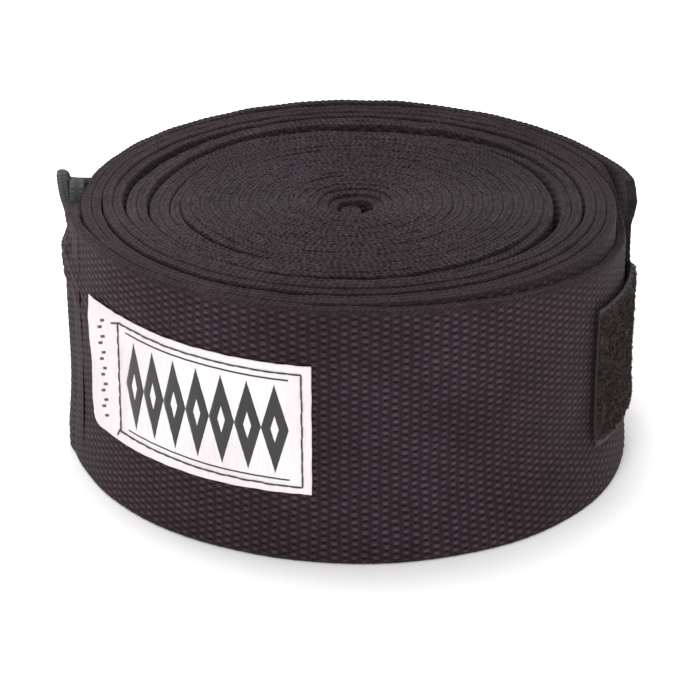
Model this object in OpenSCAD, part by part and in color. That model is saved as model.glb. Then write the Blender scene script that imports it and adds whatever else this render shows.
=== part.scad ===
// Rolled hand wrap: a long knitted band, folded in half and wound double from the fold,
// so that both of its ends lie on the outside of the roll. One end carries a thumb loop,
// the other a hook and loop closure tab that holds the roll shut.
// The roll stands on its edge with its axis along Z, its base on Z = 0 and its front at -Y.
// Seen from above, both plies wind outwards clockwise.

/* [Band] */
// Width of the knitted band, which is the height of the roll
band_w = 50; // [45:0.5:55]
// Thickness of one end of the band where it lies free of the roll
end_ply_t = 1.8; // [1.4:0.1:2]
// How far the inner windings stand below the rim
inner_drop = 1; // [0.5:0.1:2]

/* [Roll] */
// Radius of the inner windings, which slide as one disc
inner_r = 41; // [36:0.5:43]
// Radius of the turns below the two outermost ones
ring_r = 49.5; // [48.5:0.1:49.5]
// Outer radius of the front turn
front_r = 53.4; // [53:0.1:54]
// Outer radius of the back turn
back_r = 53.1; // [52.6:0.1:53.2]
// Length of the folded core across its flat
core_l = 13; // [10:0.5:16]
// Thickness of the folded core
core_t = 6; // [4:0.5:8]

/* [Label] */
// Width of the woven label around the roll
label_w = 52; // [44:1:54]
// Height of the woven label
label_h = 25.4; // [20:0.2:28]
// Height of the label's lower edge above the base
label_z = 13.4; // [10:0.2:16]
// Thickness of the woven label
label_t = 0.6; // [0.4:0.1:0.8]

/* [Closure] */
// Width of the hook tape and of the loop tape
tape_w = 28; // [26:0.5:34]
// Height of the tapes' lower edge above the base
tape_z = 11; // [9:0.5:13]
// Thickness of the hook tape with its hooks
hook_t = 0.9; // [0.7:0.1:1.2]
// Thickness of the loop tape with its pile
pile_t = 1.5; // [1.2:0.1:1.8]

/* [Thumb loop] */
// Width of the thumb loop's tape
loop_tape_w = 6; // [5:0.5:7]
// Thickness of the thumb loop's tape
loop_tape_t = 1.8; // [1.2:0.1:2]
// Height of the loop from its lowest to its highest tape edge
loop_h = 35; // [30:1:36]
// Length of the loop around the roll
loop_l = 46; // [40:1:50]
// Height of the loop's raised top above the base
loop_top_z = 54.5; // [52:0.5:56]

/* [Stitches] */
// Length of one stitch
stitch_l = 1.8; // [1.4:0.1:2]
// Distance from one stitch to the next
stitch_pitch = 2.6; // [2.4:0.1:3]
// Width of a stitch
stitch_w = 0.5; // [0.3:0.1:0.7]
// How far a stitch stands proud
stitch_t = 0.3; // [0.2:0.1:0.4]

/* [Hidden] */
$fn = 96;

// Running gap between pieces that move apart
gap = 0.3;
// Wider than the roll, for cutting tools
reach = 80;
// Centres of the front turn's and the back turn's outlines, which are a little off the axis
front_c = [-0.9, -0.6];
back_c = [1.6, 1.7];
// Angles are taken about front_c, counter-clockwise from +X
label_a = -153.2;
label_da = label_w / front_r * 180 / PI;
loop_hinge_a = -160.3;
closure_hinge_a = 95;
// From a hinge line to the moving ply, and to the fixed ply behind it
hinge_lead = 0.7;
hinge_back = 1.3;
// Free edges of the two ends of the band
loop_end_a = -184.2;
closure_end_a = -4;
// The hook tape laps under the end of the band, and both tapes stop at tape_end_a
hook_lap_a = 4;
tape_end_a = -33;
// The mitre that narrows the closure end from the band's width to the tape's
mitre_a = 9;
// Radii about front_c of the inner face of the loop end and of the layers of the tab
loop_end_r = front_r - end_ply_t;
tab_r = front_r + gap;
pile_r = tab_r + hook_t;
tab_top_r = pile_r + pile_t;
// The thumb loop hangs in a cylindrical sheet about the roll's axis
loop_sheet_r = 55;
loop_hinge_r = 54.8;
thumb_hinge_a = 173;
loop_mid_a = thumb_hinge_a - loop_l / 2 / loop_sheet_r * 180 / PI;
loop_z = 11;
loop_corner_r = 14;
loop_root_r = 1.6;
loop_root_z = 36;
// Inset of each stitch line from the edge that it follows
stitch_inset = 2;
label_stitch_lead = 12;
hem_row_gap = 3;
tack_rows = 6;
tack_l = 3.6;
tack_pitch = 1.3;
tack_z = 37;

function arc_angle(length, radius) = length / radius * 180 / PI;

// A slab that follows a circle about front_c, from angle a0 through da, radius r0 to r1, z0 to z1
module curved_slab(a0, da, r0, r1, z0, z1) {
    translate([front_c.x, front_c.y, z0])
        rotate([0, 0, a0])
            rotate_extrude(angle = da)
                translate([r0, 0])
                    square([r1 - r0, z1 - z0]);
}

module sector(a0, a1) {
    curved_slab(a0, a1 - a0, 0, reach, -1, band_w + 1);
}

module disc(centre, r, h) {
    translate([centre.x, centre.y, 0])
        cylinder(r = r, h = h);
}

module core_outline() {
    half = (core_l - core_t) / 2;
    square([2 * half, core_t], center = true);
    for (side = [-1, 1])
        translate([side * half, 0])
            circle(d = core_t);
}

// The fold in the middle of the band, which the winding starts from
module band_folded_core() {
    color([0.21, 0.16, 0.18])
        linear_extrude(band_w - 2 * inner_drop)
            core_outline();
}

module band_inner_windings() {
    color([0.29, 0.27, 0.29])
        difference() {
            cylinder(r = inner_r, h = band_w - inner_drop);
            translate([0, 0, -1])
                linear_extrude(band_w + 2)
                    core_outline();
        }
}

module band_outer_windings() {
    color([0.26, 0.24, 0.26])
        difference() {
            cylinder(r = ring_r, h = band_w);
            translate([0, 0, -1])
                cylinder(r = inner_r + gap, h = band_w + 2);
        }
}

// The outermost turn across the front, which carries the label and passes under the closure
module band_front_turn() {
    color([0.22, 0.19, 0.21])
        intersection() {
            difference() {
                disc(front_c, front_r, band_w);
                translate([0, 0, -1])
                    cylinder(r = ring_r, h = band_w + 2);
            }
            sector(loop_hinge_a + hinge_back, closure_hinge_a - 2 * hinge_lead);
        }
}

// The outermost turn at the back left, which comes out from under the loop end
module band_back_turn() {
    color([0.22, 0.19, 0.21])
        intersection() {
            difference() {
                disc(back_c, back_r, band_w);
                translate([0, 0, -1])
                    cylinder(r = ring_r, h = band_w + 2);
            }
            sector(closure_hinge_a + hinge_back, 360 + loop_hinge_a + hinge_back);
        }
}

// The end of the band that the thumb loop is sewn to
module band_loop_end() {
    start = loop_hinge_a - hinge_lead;
    color([0.24, 0.21, 0.22])
        curved_slab(loop_end_a, start - loop_end_a, loop_end_r, front_r, 0, band_w);
}

// The end of the band that the closure is sewn to, mitred down to the width of the tapes
module band_closure_end() {
    start_y = front_c.y + front_r * sin(mitre_a);
    end_y = front_c.y + front_r * sin(closure_end_a);
    tape_top = tape_z + tape_w;
    color([0.22, 0.19, 0.21])
        difference() {
            intersection() {
                disc(back_c, back_r, band_w);
                sector(closure_end_a, closure_hinge_a - hinge_lead);
            }
            translate([0, 0, -1])
                disc(front_c, tab_r, band_w + 2);
            curved_slab(tape_end_a, hook_lap_a - tape_end_a, 0, pile_r, tape_z, tape_top);
            rotate([90, 0, 90])
                linear_extrude(reach) {
                    polygon([[start_y, band_w], [end_y, tape_top], [-reach, tape_top],
                             [-reach, band_w + 1], [start_y, band_w + 1]]);
                    polygon([[start_y, 0], [end_y, tape_z], [-reach, tape_z], [-reach, -1],
                             [start_y, -1]]);
                }
        }
}

module woven_label() {
    color([0.94, 0.92, 0.92])
        curved_slab(label_a, label_da, front_r, front_r + label_t, label_z, label_z + label_h);
}

// A row of stitches along the circle of radius r, centred on height z
module level_row(a0, a1, r, z) {
    count = floor((a1 - a0) / arc_angle(stitch_pitch, r));
    for (i = [0 : count - 1])
        curved_slab(a0 + (i + 0.5) * (a1 - a0) / count - arc_angle(stitch_l, r) / 2,
                    arc_angle(stitch_l, r), r, r + stitch_t, z - stitch_w / 2, z + stitch_w / 2);
}

// A row of stitches straight up the roll at angle a
module upright_row(a, r, z0, z1) {
    count = floor((z1 - z0) / stitch_pitch);
    for (i = [0 : count - 1]) {
        z = z0 + (i + 0.5) * (z1 - z0) / count;
        curved_slab(a - arc_angle(stitch_w, r) / 2, arc_angle(stitch_w, r), r, r + stitch_t,
                    z - stitch_l / 2, z + stitch_l / 2);
    }
}

// The rectangle of stitches that holds the label down, set in from its free left strip
module label_stitches() {
    r = front_r + label_t;
    a0 = label_a + arc_angle(label_stitch_lead, r);
    a1 = label_a + label_da - arc_angle(stitch_inset, r);
    z0 = label_z + stitch_inset;
    z1 = label_z + label_h - stitch_inset;
    color([0.25, 0.25, 0.25]) {
        for (z = [z0, z1])
            level_row(a0, a1, r, z);
        for (a = [a0, a1])
            upright_row(a, r, z0, z1);
    }
}

// Two rows that hold the turned hem of the loop end
module loop_hem_stitches() {
    first = loop_end_a + arc_angle(2 * stitch_inset + tack_l, front_r);
    color([0.17, 0.15, 0.16])
        for (a = [first, first + arc_angle(hem_row_gap, front_r)])
            upright_row(a, front_r, stitch_inset, band_w - stitch_inset);
}

// The racetrack that the loop's tape follows, seen square to its sheet
module racetrack(inset) {
    l = loop_l - 2 * inset;
    h = loop_h - 2 * inset;
    r = loop_corner_r - inset;
    square([l - 2 * r, h], center = true);
    square([l, h - 2 * r], center = true);
    for (x = [-1, 1], y = [-1, 1])
        translate([x * (l / 2 - r), y * (h / 2 - r)])
            circle(r = r);
}

// A closed loop of narrow tape for the thumb, lying along the roll from its raised root
module thumb_loop() {
    color([0.36, 0.38, 0.35]) {
        intersection() {
            difference() {
                cylinder(r = loop_sheet_r + loop_tape_t, h = band_w);
                translate([0, 0, -1])
                    cylinder(r = loop_sheet_r, h = band_w + 2);
            }
            rotate([0, 0, loop_mid_a])
                translate([0, 0, loop_z + loop_h / 2])
                    rotate([90, 0, 90])
                        linear_extrude(reach)
                            difference() {
                                racetrack(0);
                                racetrack(loop_tape_w);
                            }
        }
        rotate([0, 0, thumb_hinge_a])
            translate([loop_hinge_r, 0, 0])
                intersection() {
                    translate([0, 0, loop_z + loop_h / 2])
                        cylinder(r = loop_root_r, h = loop_top_z - loop_z - loop_h / 2);
                    translate([-reach, -reach, 0])
                        cube([2 * reach, 2 * reach, loop_top_z]);
                }
    }
}

// Close zigzag stitches that lock the root of the thumb loop to the hem
module thumb_loop_bar_tack() {
    a0 = loop_end_a + arc_angle(stitch_inset, front_r);
    color([0.17, 0.15, 0.16])
        for (i = [0 : tack_rows - 1])
            curved_slab(a0, arc_angle(tack_l, front_r), front_r, front_r + stitch_t,
                        tack_z + i * tack_pitch, tack_z + i * tack_pitch + stitch_w);
}

// The inner tape of the tab, whose hooks grip the knit below
module closure_hook_tape() {
    color([0.14, 0.14, 0.14])
        curved_slab(tape_end_a, hook_lap_a - tape_end_a, tab_r, pile_r, tape_z, tape_z + tape_w);
}

// The outer tape of the tab, with a raised pile
module closure_loop_tape() {
    color([0.24, 0.22, 0.19])
        curved_slab(tape_end_a, closure_end_a - tape_end_a, pile_r, tab_top_r, tape_z,
                    tape_z + tape_w);
}

// The box of stitches through both tapes
module closure_stitches() {
    inset_a = arc_angle(stitch_inset, tab_top_r);
    a0 = tape_end_a + inset_a;
    a1 = closure_end_a - inset_a;
    z0 = tape_z + stitch_inset;
    z1 = tape_z + tape_w - stitch_inset;
    color([0.12, 0.11, 0.11]) {
        for (z = [z0, z1])
            level_row(a0, a1, tab_top_r, z);
        upright_row(a1, tab_top_r, z0, z1);
    }
}

band_folded_core();
band_inner_windings();
band_outer_windings();
band_front_turn();
band_back_turn();
band_loop_end();
band_closure_end();
woven_label();
label_stitches();
loop_hem_stitches();
thumb_loop();
thumb_loop_bar_tack();
closure_hook_tape();
closure_loop_tape();
closure_stitches();
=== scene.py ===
import math

import bpy
import numpy as np
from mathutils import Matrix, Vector


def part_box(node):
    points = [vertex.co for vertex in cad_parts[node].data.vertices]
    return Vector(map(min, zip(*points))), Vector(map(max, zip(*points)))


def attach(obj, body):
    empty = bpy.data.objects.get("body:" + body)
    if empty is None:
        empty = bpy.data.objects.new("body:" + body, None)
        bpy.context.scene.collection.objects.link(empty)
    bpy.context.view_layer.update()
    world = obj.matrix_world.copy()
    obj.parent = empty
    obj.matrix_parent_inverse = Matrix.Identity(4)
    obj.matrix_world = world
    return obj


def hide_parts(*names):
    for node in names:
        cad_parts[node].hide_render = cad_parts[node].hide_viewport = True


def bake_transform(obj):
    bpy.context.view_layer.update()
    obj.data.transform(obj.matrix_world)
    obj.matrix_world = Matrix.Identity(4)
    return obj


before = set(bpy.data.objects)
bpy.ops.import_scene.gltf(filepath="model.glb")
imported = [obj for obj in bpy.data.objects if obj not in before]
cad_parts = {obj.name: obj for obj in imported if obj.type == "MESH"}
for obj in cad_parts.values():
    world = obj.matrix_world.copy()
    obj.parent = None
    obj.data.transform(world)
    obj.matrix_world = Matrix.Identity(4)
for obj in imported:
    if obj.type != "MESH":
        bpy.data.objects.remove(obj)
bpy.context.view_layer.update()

# Lengths are in millimetres and angles in degrees until a mesh is made.
MM = 0.001


def node_box(node):
    low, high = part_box(node)
    return np.array(low) / MM, np.array(high) / MM


BAND_W = node_box("band_outer_windings")[1][2]
INNER_DROP = BAND_W - node_box("band_inner_windings")[1][2]
LABEL_LOW, LABEL_HIGH = node_box("woven_label")
TAPE_LOW, TAPE_HIGH = node_box("closure_loop_tape")
LOOP_LOW, LOOP_HIGH = node_box("thumb_loop")

# The band: two plies wound together, B outside A. Both run clockwise outwards, seen from above.
# "way" is the angle travelled clockwise past the free edge of the loop end, which is ply B's end.
# A ply lies one PLY further in than the ply that covers it, and the cloth is CLOTH_T thick.
PLY = 2.0
CLOTH_T = 2.0
# Radius of the outer face at depth 0, and millimetres round it for each degree of way
MEAN_R = 54.84
WAY_MM = math.radians(MEAN_R)
# The angle of the loop end's free edge, and the ways of the free ends and of the closure tab's end
LOOP_END_A = -184.2
LOOP_END_WAY = 0.0
CLOSURE_END_WAY = LOOP_END_A + 4 + 360
TAB_END_WAY = LOOP_END_A + 33 + 360
# Where each of the band's two free ends begins
HINGE_WAY = {"loop_end": LOOP_END_A + 160.3, "closure_end": LOOP_END_A - 95 + 360}
# The turned hem of the loop end: extra thickness and length
HEM_T = 1.1
HEM_L = 12
# The closure end is cut down to the tape's width over this angle, and thinned over this length.
MITRE = 13
THINNED = 9
# The last stretch of each free end is rounded, and no cloth reaches below the lowest height.
END_ROUND = 1.2
LOWEST = 0.05
# The depth at which ply A leaves the winding for the fold at the core
CORE_Q = -25.12
# Both plies cross the valley between the inner windings and the rest, half a turn apart.
VALLEY_Q = -6.25
CROSSING_Q = 0.25

rng = np.random.default_rng(7)
WAVES = [
    (rng.uniform(0.6, 1.7, 6), rng.uniform(0, 2 * math.pi, 6), rng.uniform(0.5, 1, 6))
    for _ in range(12)
]


def wobble(x, kind):
    """Smooth noise of about -1 to 1 with a wavelength near 1. kind picks one of the WAVES."""
    rates, phases, weights = WAVES[kind]
    total = sum(w * np.sin(2 * math.pi * r * x + p) for r, p, w in zip(rates, phases, weights))
    return total / weights.sum()


def smooth(x, low=0.0, high=1.0):
    """A smooth step from 0 at low to 1 at high."""
    t = np.clip((np.asarray(x, float) - low) / (high - low), 0, 1)
    return t * t * (3 - 2 * t)


def hump(angle, middle, spread):
    """1 at the middle angle, falling smoothly to 0 at spread degrees from it."""
    off = np.abs((np.asarray(angle, float) - middle + 180) % 360 - 180)
    return 1 - smooth(off, 0, spread)


def gauss(x, middle, width):
    """A bell curve that is 1 at its middle."""
    return np.exp(-(((np.asarray(x, float) - middle) / width) ** 2))


def angle_of(way):
    return LOOP_END_A - np.asarray(way, float)


def depth_of(ply, way):
    """How many plies a point of the band lies inwards of the roll's outside, as a number under 0."""
    return np.asarray(way, float) / 180 - (1 if ply == "A" else 0)


def way_at(ply, q):
    """The way at which a ply reaches a depth."""
    return (q + (1 if ply == "A" else 0)) * 180


def between(radius, angle):
    """The depth midway between two plies, nearest to a radius, at an angle."""
    q = (radius - MEAN_R) / PLY
    part = ((LOOP_END_A - angle) / 180 + 0.5) % 1
    return part + round(q - part)


# Gaps between plies: depth, middle angle, spread, width, how far the cloth beside it sinks,
# and the depth over which the gap opens
GAPS = [
    (VALLEY_Q, -45, 110, 2.1, 1.3, 0.5),
    (VALLEY_Q, 75, 90, 0.8, 0.5, 0.5),
    (VALLEY_Q, 190, 75, 0.6, 0.3, 0.5),
    (between(49.6, -135), -130, 62, 1.3, 0.6, 0.25),
    (between(49.4, -75), -75, 42, 1.0, 0.5, 0.25),
    (between(46.4, 150), 150, 54, 2.5, 1.0, 0.25),
    (between(47.6, 75), 75, 70, 1.5, 0.5, 0.25),
    (between(46.4, 15), 15, 50, 0.9, 0.4, 0.25),
    (between(35.4, -142), -142, 40, 1.1, 0.5, 0.25),
    (between(37.2, 168), 168, 40, 0.4, 0.2, 0.25),
    (between(30, 95), 95, 60, 0.3, 0.2, 0.25),
    (between(13, -112), -112, 50, 0.5, 0.2, 0.25),
    (between(22, -20), -20, 50, 0.25, 0.15, 0.25),
]


def roll_radius(q, angle):
    """Radius of the outer face of a ply at a depth in the roll."""
    base = MEAN_R + PLY * q
    a = np.radians(angle)
    # A hand-wound roll isn't quite round.
    oval = 0.75 * np.cos(a) + 0.55 * np.sin(a) - 0.60 * np.cos(2 * a) + 0.25 * np.sin(2 * a)
    r = base + (base / MEAN_R) ** 2 * oval
    for depth, middle, spread, width, _, soft in GAPS:
        inside = smooth((depth - q) / soft + 0.5)
        gap_r = MEAN_R + PLY * depth
        r = r - width * hump(angle, middle, spread) * inside * np.minimum(base, gap_r) / gap_r
    return r


def tape_rise(way):
    """The closure tab sinks a little from its free end towards the band."""
    return -0.3 - 1.6 * (1 - np.exp(-(TAB_END_WAY - np.asarray(way, float)) / 16))


def edge_heights(ply, way):
    """Heights of the upper and lower edges of the band."""
    way = np.asarray(way, float)
    q, a = depth_of(ply, way), angle_of(way)
    base = MEAN_R + PLY * q
    side = 0 if ply == "A" else 1
    top = BAND_W - 0.15 + 0.20 * wobble(way / 95, side) + 0.16 * wobble(way / 17, 2 + side)
    top = top - INNER_DROP * smooth((VALLEY_Q - q) / 0.5 + 0.5)
    for depth, middle, spread, _, sink, _ in GAPS:
        top = top - sink * hump(a, middle, spread) * gauss(q, depth, 0.75)
    # The outer plies lean down towards the right, and the core is sunk
    top = top - 1.3 * hump(a, -15, 80) * smooth(q, -5.2, -1.5) * (1 - smooth(q, -1.4, -1.0))
    top = top - 3.3 * gauss(base, 0, 6.5)
    top = top + 0.5 * hump(a, 105, 60) * smooth(q, -1.3, -1.0)
    bottom = 0.06 + 0.10 * (1 + wobble(way / 40, 4 + side)) / 2
    if ply == "B":
        # The last turn is pulled tight and narrow towards the closure
        turn = (a + 180) % 360 - 180
        pulled = 0.4 + 6.6 * np.clip((turn + 100) / 100, 0, 1.3) ** 1.6
        last = smooth(way, -205, -178) * (1 - smooth(way, -110, -40))
        top = top - pulled * last
        top = top - 1.5 * smooth(way, -16, -5)
    return top, bottom


# Creases that run down from the thumb loop's root: height at the free edge, slope, width and depth
LOOP_END_CREASES = [(46.5, 0.34, 1.3, 0.40), (43.0, 0.30, 1.5, -0.20), (39.5, 0.22, 1.8, 0.28)]


def slack(ply, way, z):
    """How far the outermost cloth stands off the roll, with its creases."""
    way, z = np.asarray(way, float), np.asarray(z, float)
    if ply == "A":
        # It bulges at the shoulder and lies close below it, near the closure.
        sway = 0.12 * wobble(way / 30 + z / 45, 8) * smooth(way, 0, 25)
        shoulder = smooth(z, 42, 47)
        bulge = 1.1 * smooth(way, 148, 163) * shoulder
        return sway + bulge - 0.4 * smooth(way, 165, 177) * (1 - shoulder)
    sway = 0.16 * wobble(way / 33 + z / 60, 6) + 0.10 * wobble(z / 24 - way / 50, 7)
    off = sway * smooth(way, -284, -250)
    # The foot flares outwards at the front and at the left.
    a = angle_of(way)
    flare = 0.8 + 2.0 * hump(a, -48, 75) + 0.3 * hump(a, -165, 60)
    off = off + flare * (1 - smooth(z, 0, 19)) ** 1.4 * smooth(way, -284, -190)
    # The loop end stands off, pinched under the thumb loop's root.
    end = smooth(way, -26, -8)
    off = off + 0.95 * smooth(way, -40, -6)
    off = off - 0.9 * end * gauss(z, 45.0, 2.6) + 0.6 * end * gauss(z, 39.6, 2.6)
    for z0, slope, width, tall in LOOP_END_CREASES:
        line = z - (z0 + slope * way)
        off = off + tall * gauss(line, 0, width) * smooth(way, -38, -20) * (1 - smooth(way, -4, 0))
    return off


# Knitted relief: staggered beads, a row every ROW_P up the band and a column every COLUMN_P along it,
# with a groove between columns
ROW_P = 1.38
COLUMN_P = 1.8
BEAD_POWER = 3.0
GROOVE = 0.4
RELIEF = 0.1


def knit_place(along, z):
    """Places on the cloth, shifted a little so that the knit's columns and rows wander."""
    wander = 0.25 * wobble(z / 9 + along / 7, 7)
    return along + wander, z + 0.14 * wobble(along / 5 + z / 13, 8)


def knit_height(along, z):
    """Height of the knit's relief. The bead columns alternate between sign, so rows are staggered."""
    column = np.cos(math.pi * along / COLUMN_P)
    beads = np.sign(column) * np.abs(column) ** BEAD_POWER * np.cos(2 * math.pi * z / ROW_P)
    return RELIEF * (beads - GROOVE * (1 - np.abs(column)))


def make_mesh(name, points, faces, material, uv=None, edge=None, flat=0):
    """A smooth mesh from points in millimetres, with its last faces flat.

    uv and edge hold a value for each point."""
    mesh = bpy.data.meshes.new(name)
    mesh.from_pydata((np.asarray(points) * MM).tolist(), [], faces)
    mesh.polygons.foreach_set("use_smooth", np.arange(len(mesh.polygons)) < len(mesh.polygons) - flat)
    if uv is not None:
        index = np.empty(len(mesh.loops), np.int32)
        mesh.loops.foreach_get("vertex_index", index)
        layer = mesh.uv_layers.new(name="cloth")
        layer.data.foreach_set("uv", (np.asarray(uv)[index] * MM).astype(np.float32).ravel())
    if edge is not None:
        layer = mesh.attributes.new("edge", "FLOAT", "POINT")
        layer.data.foreach_set("value", np.asarray(edge).astype(np.float32))
    mesh.materials.append(material)
    mesh.update()
    made = bpy.data.objects.new(name, mesh)
    bpy.context.scene.collection.objects.link(made)
    return made


def tube_faces(rings, sides, closed=False, first=0):
    """Quads over rings of points, wrapping round each ring, and round the rings where closed."""
    i = np.arange(rings if closed else rings - 1)[:, None]
    j = np.arange(sides)[None, :]
    a, b = i * sides + j, i * sides + (j + 1) % sides
    c, d = (i + 1) % rings * sides + (j + 1) % sides, (i + 1) % rings * sides + j
    return np.stack([a, b, c, d], -1).reshape(-1, 4) + first


# The band's cross-section, as (share of half the thickness, distance from the edge):
# each edge of the double-faced knit is two soft ridges with a groove between them.
TOP_EDGE = [(1, 1.6), (1, 0.75), (0.95, 0.32), (0.78, 0.07), (0.48, 0.0), (0.22, 0.12), (0.0, 0.3),
            (-0.22, 0.12), (-0.48, 0.0), (-0.78, 0.07), (-0.95, 0.32), (-1, 0.75), (-1, 1.6)]
BOTTOM_EDGE = [(-1, 1.2), (-0.9, 0.25), (0, 0.0), (0.93, 0.12), (1, 0.5)]
# The height and the spacing of the loops along the upper edge's ridges
EDGE_LOOP = 0.07
EDGE_LOOP_P = 1.4


def section(rows, inner_rows):
    """What each point of a strip's cross-section is.

    Returns its share of half the thickness, whether it is on an edge's soft ridges, how much of
    the relief it takes, and how near to the edge it is, from 0 to 1."""
    (top_x, top_d), (low_x, low_d) = np.array(TOP_EDGE).T, np.array(BOTTOM_EDGE).T
    outer, inner = np.zeros(rows), np.zeros(inner_rows)
    x = np.concatenate([outer + 1, top_x, inner - 1, low_x])
    ridge = np.concatenate([outer, (abs(top_x) < 0.9) & (abs(top_x) > 0.1), inner, 0 * low_x])
    takes = np.concatenate([outer + 1, top_x.clip(0) ** 6, inner, low_x.clip(0) ** 6])
    near = np.concatenate([outer, 1 - smooth(top_d, 0.3, 1.5), inner, 1 - smooth(low_d, 0.3, 1.5)])
    return x, ridge, takes, near


def strip(name, middle, normal, top, bottom, thick, along, material, rows=0, inner_rows=0,
          push=None, relief=False):
    """A closed strip of cloth swept along a path in plan, with a flat fan over each end.

    normal points to the side that the rows are added to. push(z) says how far the cloth is moved
    that way."""
    x, ridge, takes, near = section(rows, inner_rows)
    z_top = top[:, None] - np.array(TOP_EDGE)[:, 1]
    z_low = bottom[:, None] + np.array(BOTTOM_EDGE)[:, 1]
    start, stop = z_low[:, -1:], z_top[:, :1]
    up = np.arange(1, rows + 1) / (rows + 1)
    down = np.arange(1, inner_rows + 1) / (inner_rows + 1)
    z = np.hstack([start + (stop - start) * up, z_top, stop + (start - stop) * down, z_low])
    s = along[:, None]
    # The ridges of the edge are stitched loops, half a stitch apart on the two faces.
    lean = np.where(x > 0, 0.0, math.pi)
    z = z + ridge * EDGE_LOOP * np.cos(2 * math.pi * s / EDGE_LOOP_P + lean + 0.9 * wobble(s / 11, 9))
    out = x * thick[:, None] / 2
    place = (s, z)
    if relief:
        place = knit_place(s, z)
        out = out + takes * knit_height(*place)
    if push is not None:
        out = out + push(z)
    n, m = z.shape
    points = np.empty((n, m, 3))
    points[..., :2] = middle[:, None] + normal[:, None] * out[..., None]
    points[..., 2] = np.maximum(z, LOWEST)
    j = np.arange(m)
    k = (j + 1) % m
    last = (n - 1) * m
    first_fan = np.stack([k, j, 0 * j + n * m], -1)
    last_fan = np.stack([j + last, k + last, 0 * j + n * m + 1], -1)
    faces = tube_faces(n, m).tolist() + first_fan.tolist() + last_fan.tolist()
    points = np.vstack([points.reshape(-1, 3), points[0].mean(0), points[-1].mean(0)])
    uv = np.stack(np.broadcast_arrays(*place), -1).reshape(-1, 2)
    uv = np.vstack([uv, uv[:1], uv[-1:]])
    edge = np.concatenate([np.tile(near, n), [0, 0]])
    return make_mesh(name, points, faces, material, uv, edge, 2 * m)


def polar(r, angle, z):
    """Points from radii, angles and heights."""
    a = np.radians(angle)
    return np.stack(np.broadcast_arrays(r * np.cos(a), r * np.sin(a), z), -1)


def run_along(line):
    """Length run from the start of a line to each of its points."""
    steps = np.linalg.norm(np.diff(line, axis=0), axis=1)
    return np.concatenate([[0], np.cumsum(steps)])


def middle_radius(ply, way):
    return roll_radius(depth_of(ply, way), angle_of(way)) - PLY / 2


def ply_ways(ply, way0, way1, step):
    """Ways from way0 to way1, about step millimetres of cloth apart."""
    q = depth_of(ply, (way0 + way1) / 2)
    radius = max(MEAN_R + PLY * q, 6)
    count = max(int(math.radians(way1 - way0) * radius / step), 8)
    fine = np.linspace(way0, way1, 4 * count)
    r = middle_radius(ply, fine)
    steps = np.hypot(np.diff(r), np.radians(np.diff(fine)) * (r[1:] + r[:-1]) / 2)
    run = np.concatenate([[0], np.cumsum(steps)])
    return np.interp(np.linspace(0, run[-1], count), run, fine)


def along_ply(ply, way):
    """Length along a ply, taken from the spiral's mean radius so that pieces agree."""
    q = depth_of(ply, way)
    return math.radians(180) * (MEAN_R * q + PLY * q * q / 2)


def ply_strip(name, ply, way0, way1, step, material, rows=0, inner_rows=0, relief=False):
    """A stretch of one ply, with its free end shaped where it has one."""
    way = ply_ways(ply, way0, way1, step)
    r = middle_radius(ply, way)
    normal = polar(1, angle_of(way), 0)[:, :2]
    top, bottom = edge_heights(ply, way)
    thick = CLOTH_T * (1 - 0.05 * (1 + wobble(way / 23, 10)))
    end = (way - way1) * math.radians(1) * r
    if way1 == LOOP_END_WAY:
        thick = thick + HEM_T * smooth(end, -HEM_L - 3, -HEM_L)
    if way1 == CLOSURE_END_WAY:
        share = (way - CLOSURE_END_WAY + MITRE) / MITRE
        narrow = 0.3 * smooth(share) + 0.7 * np.clip(share, 0, 1)
        top = top + (TAPE_HIGH[2] + tape_rise(way) - top) * narrow
        bottom = bottom + (TAPE_LOW[2] + tape_rise(way) - bottom) * narrow
        thick = thick * (1 - 0.55 * smooth(end, -THINNED, -1))
    if way1 in (LOOP_END_WAY, CLOSURE_END_WAY):
        nose = ((end + END_ROUND) / (END_ROUND + 0.05)).clip(0, 1)
        thick = thick * np.sqrt(np.clip(1 - nose**2, 0.03, 1))
    return strip(name, normal * r[:, None], normal, top, bottom, thick, along_ply(ply, way), material,
                 rows, inner_rows, lambda z: slack(ply, way[:, None], z), relief)


def hermite(p0, p1, m0, m1, count):
    """A cubic curve from p0 to p1 that sets out along m0 and arrives along m1."""
    t = np.linspace(0, 1, count)[:, None]
    leaving = (2 * t**3 - 3 * t**2 + 1) * p0 + (t**3 - 2 * t**2 + t) * m0
    return leaving + (3 * t**2 - 2 * t**3) * p1 + (t**3 - t**2) * m1


def unit(v):
    return v / np.linalg.norm(v, axis=-1, keepdims=True)


def left_of(line):
    """Unit vectors to the left of a line in plan."""
    tangent = unit(np.gradient(line, axis=0))
    return np.stack([-tangent[:, 1], tangent[:, 0]], -1)


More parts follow.
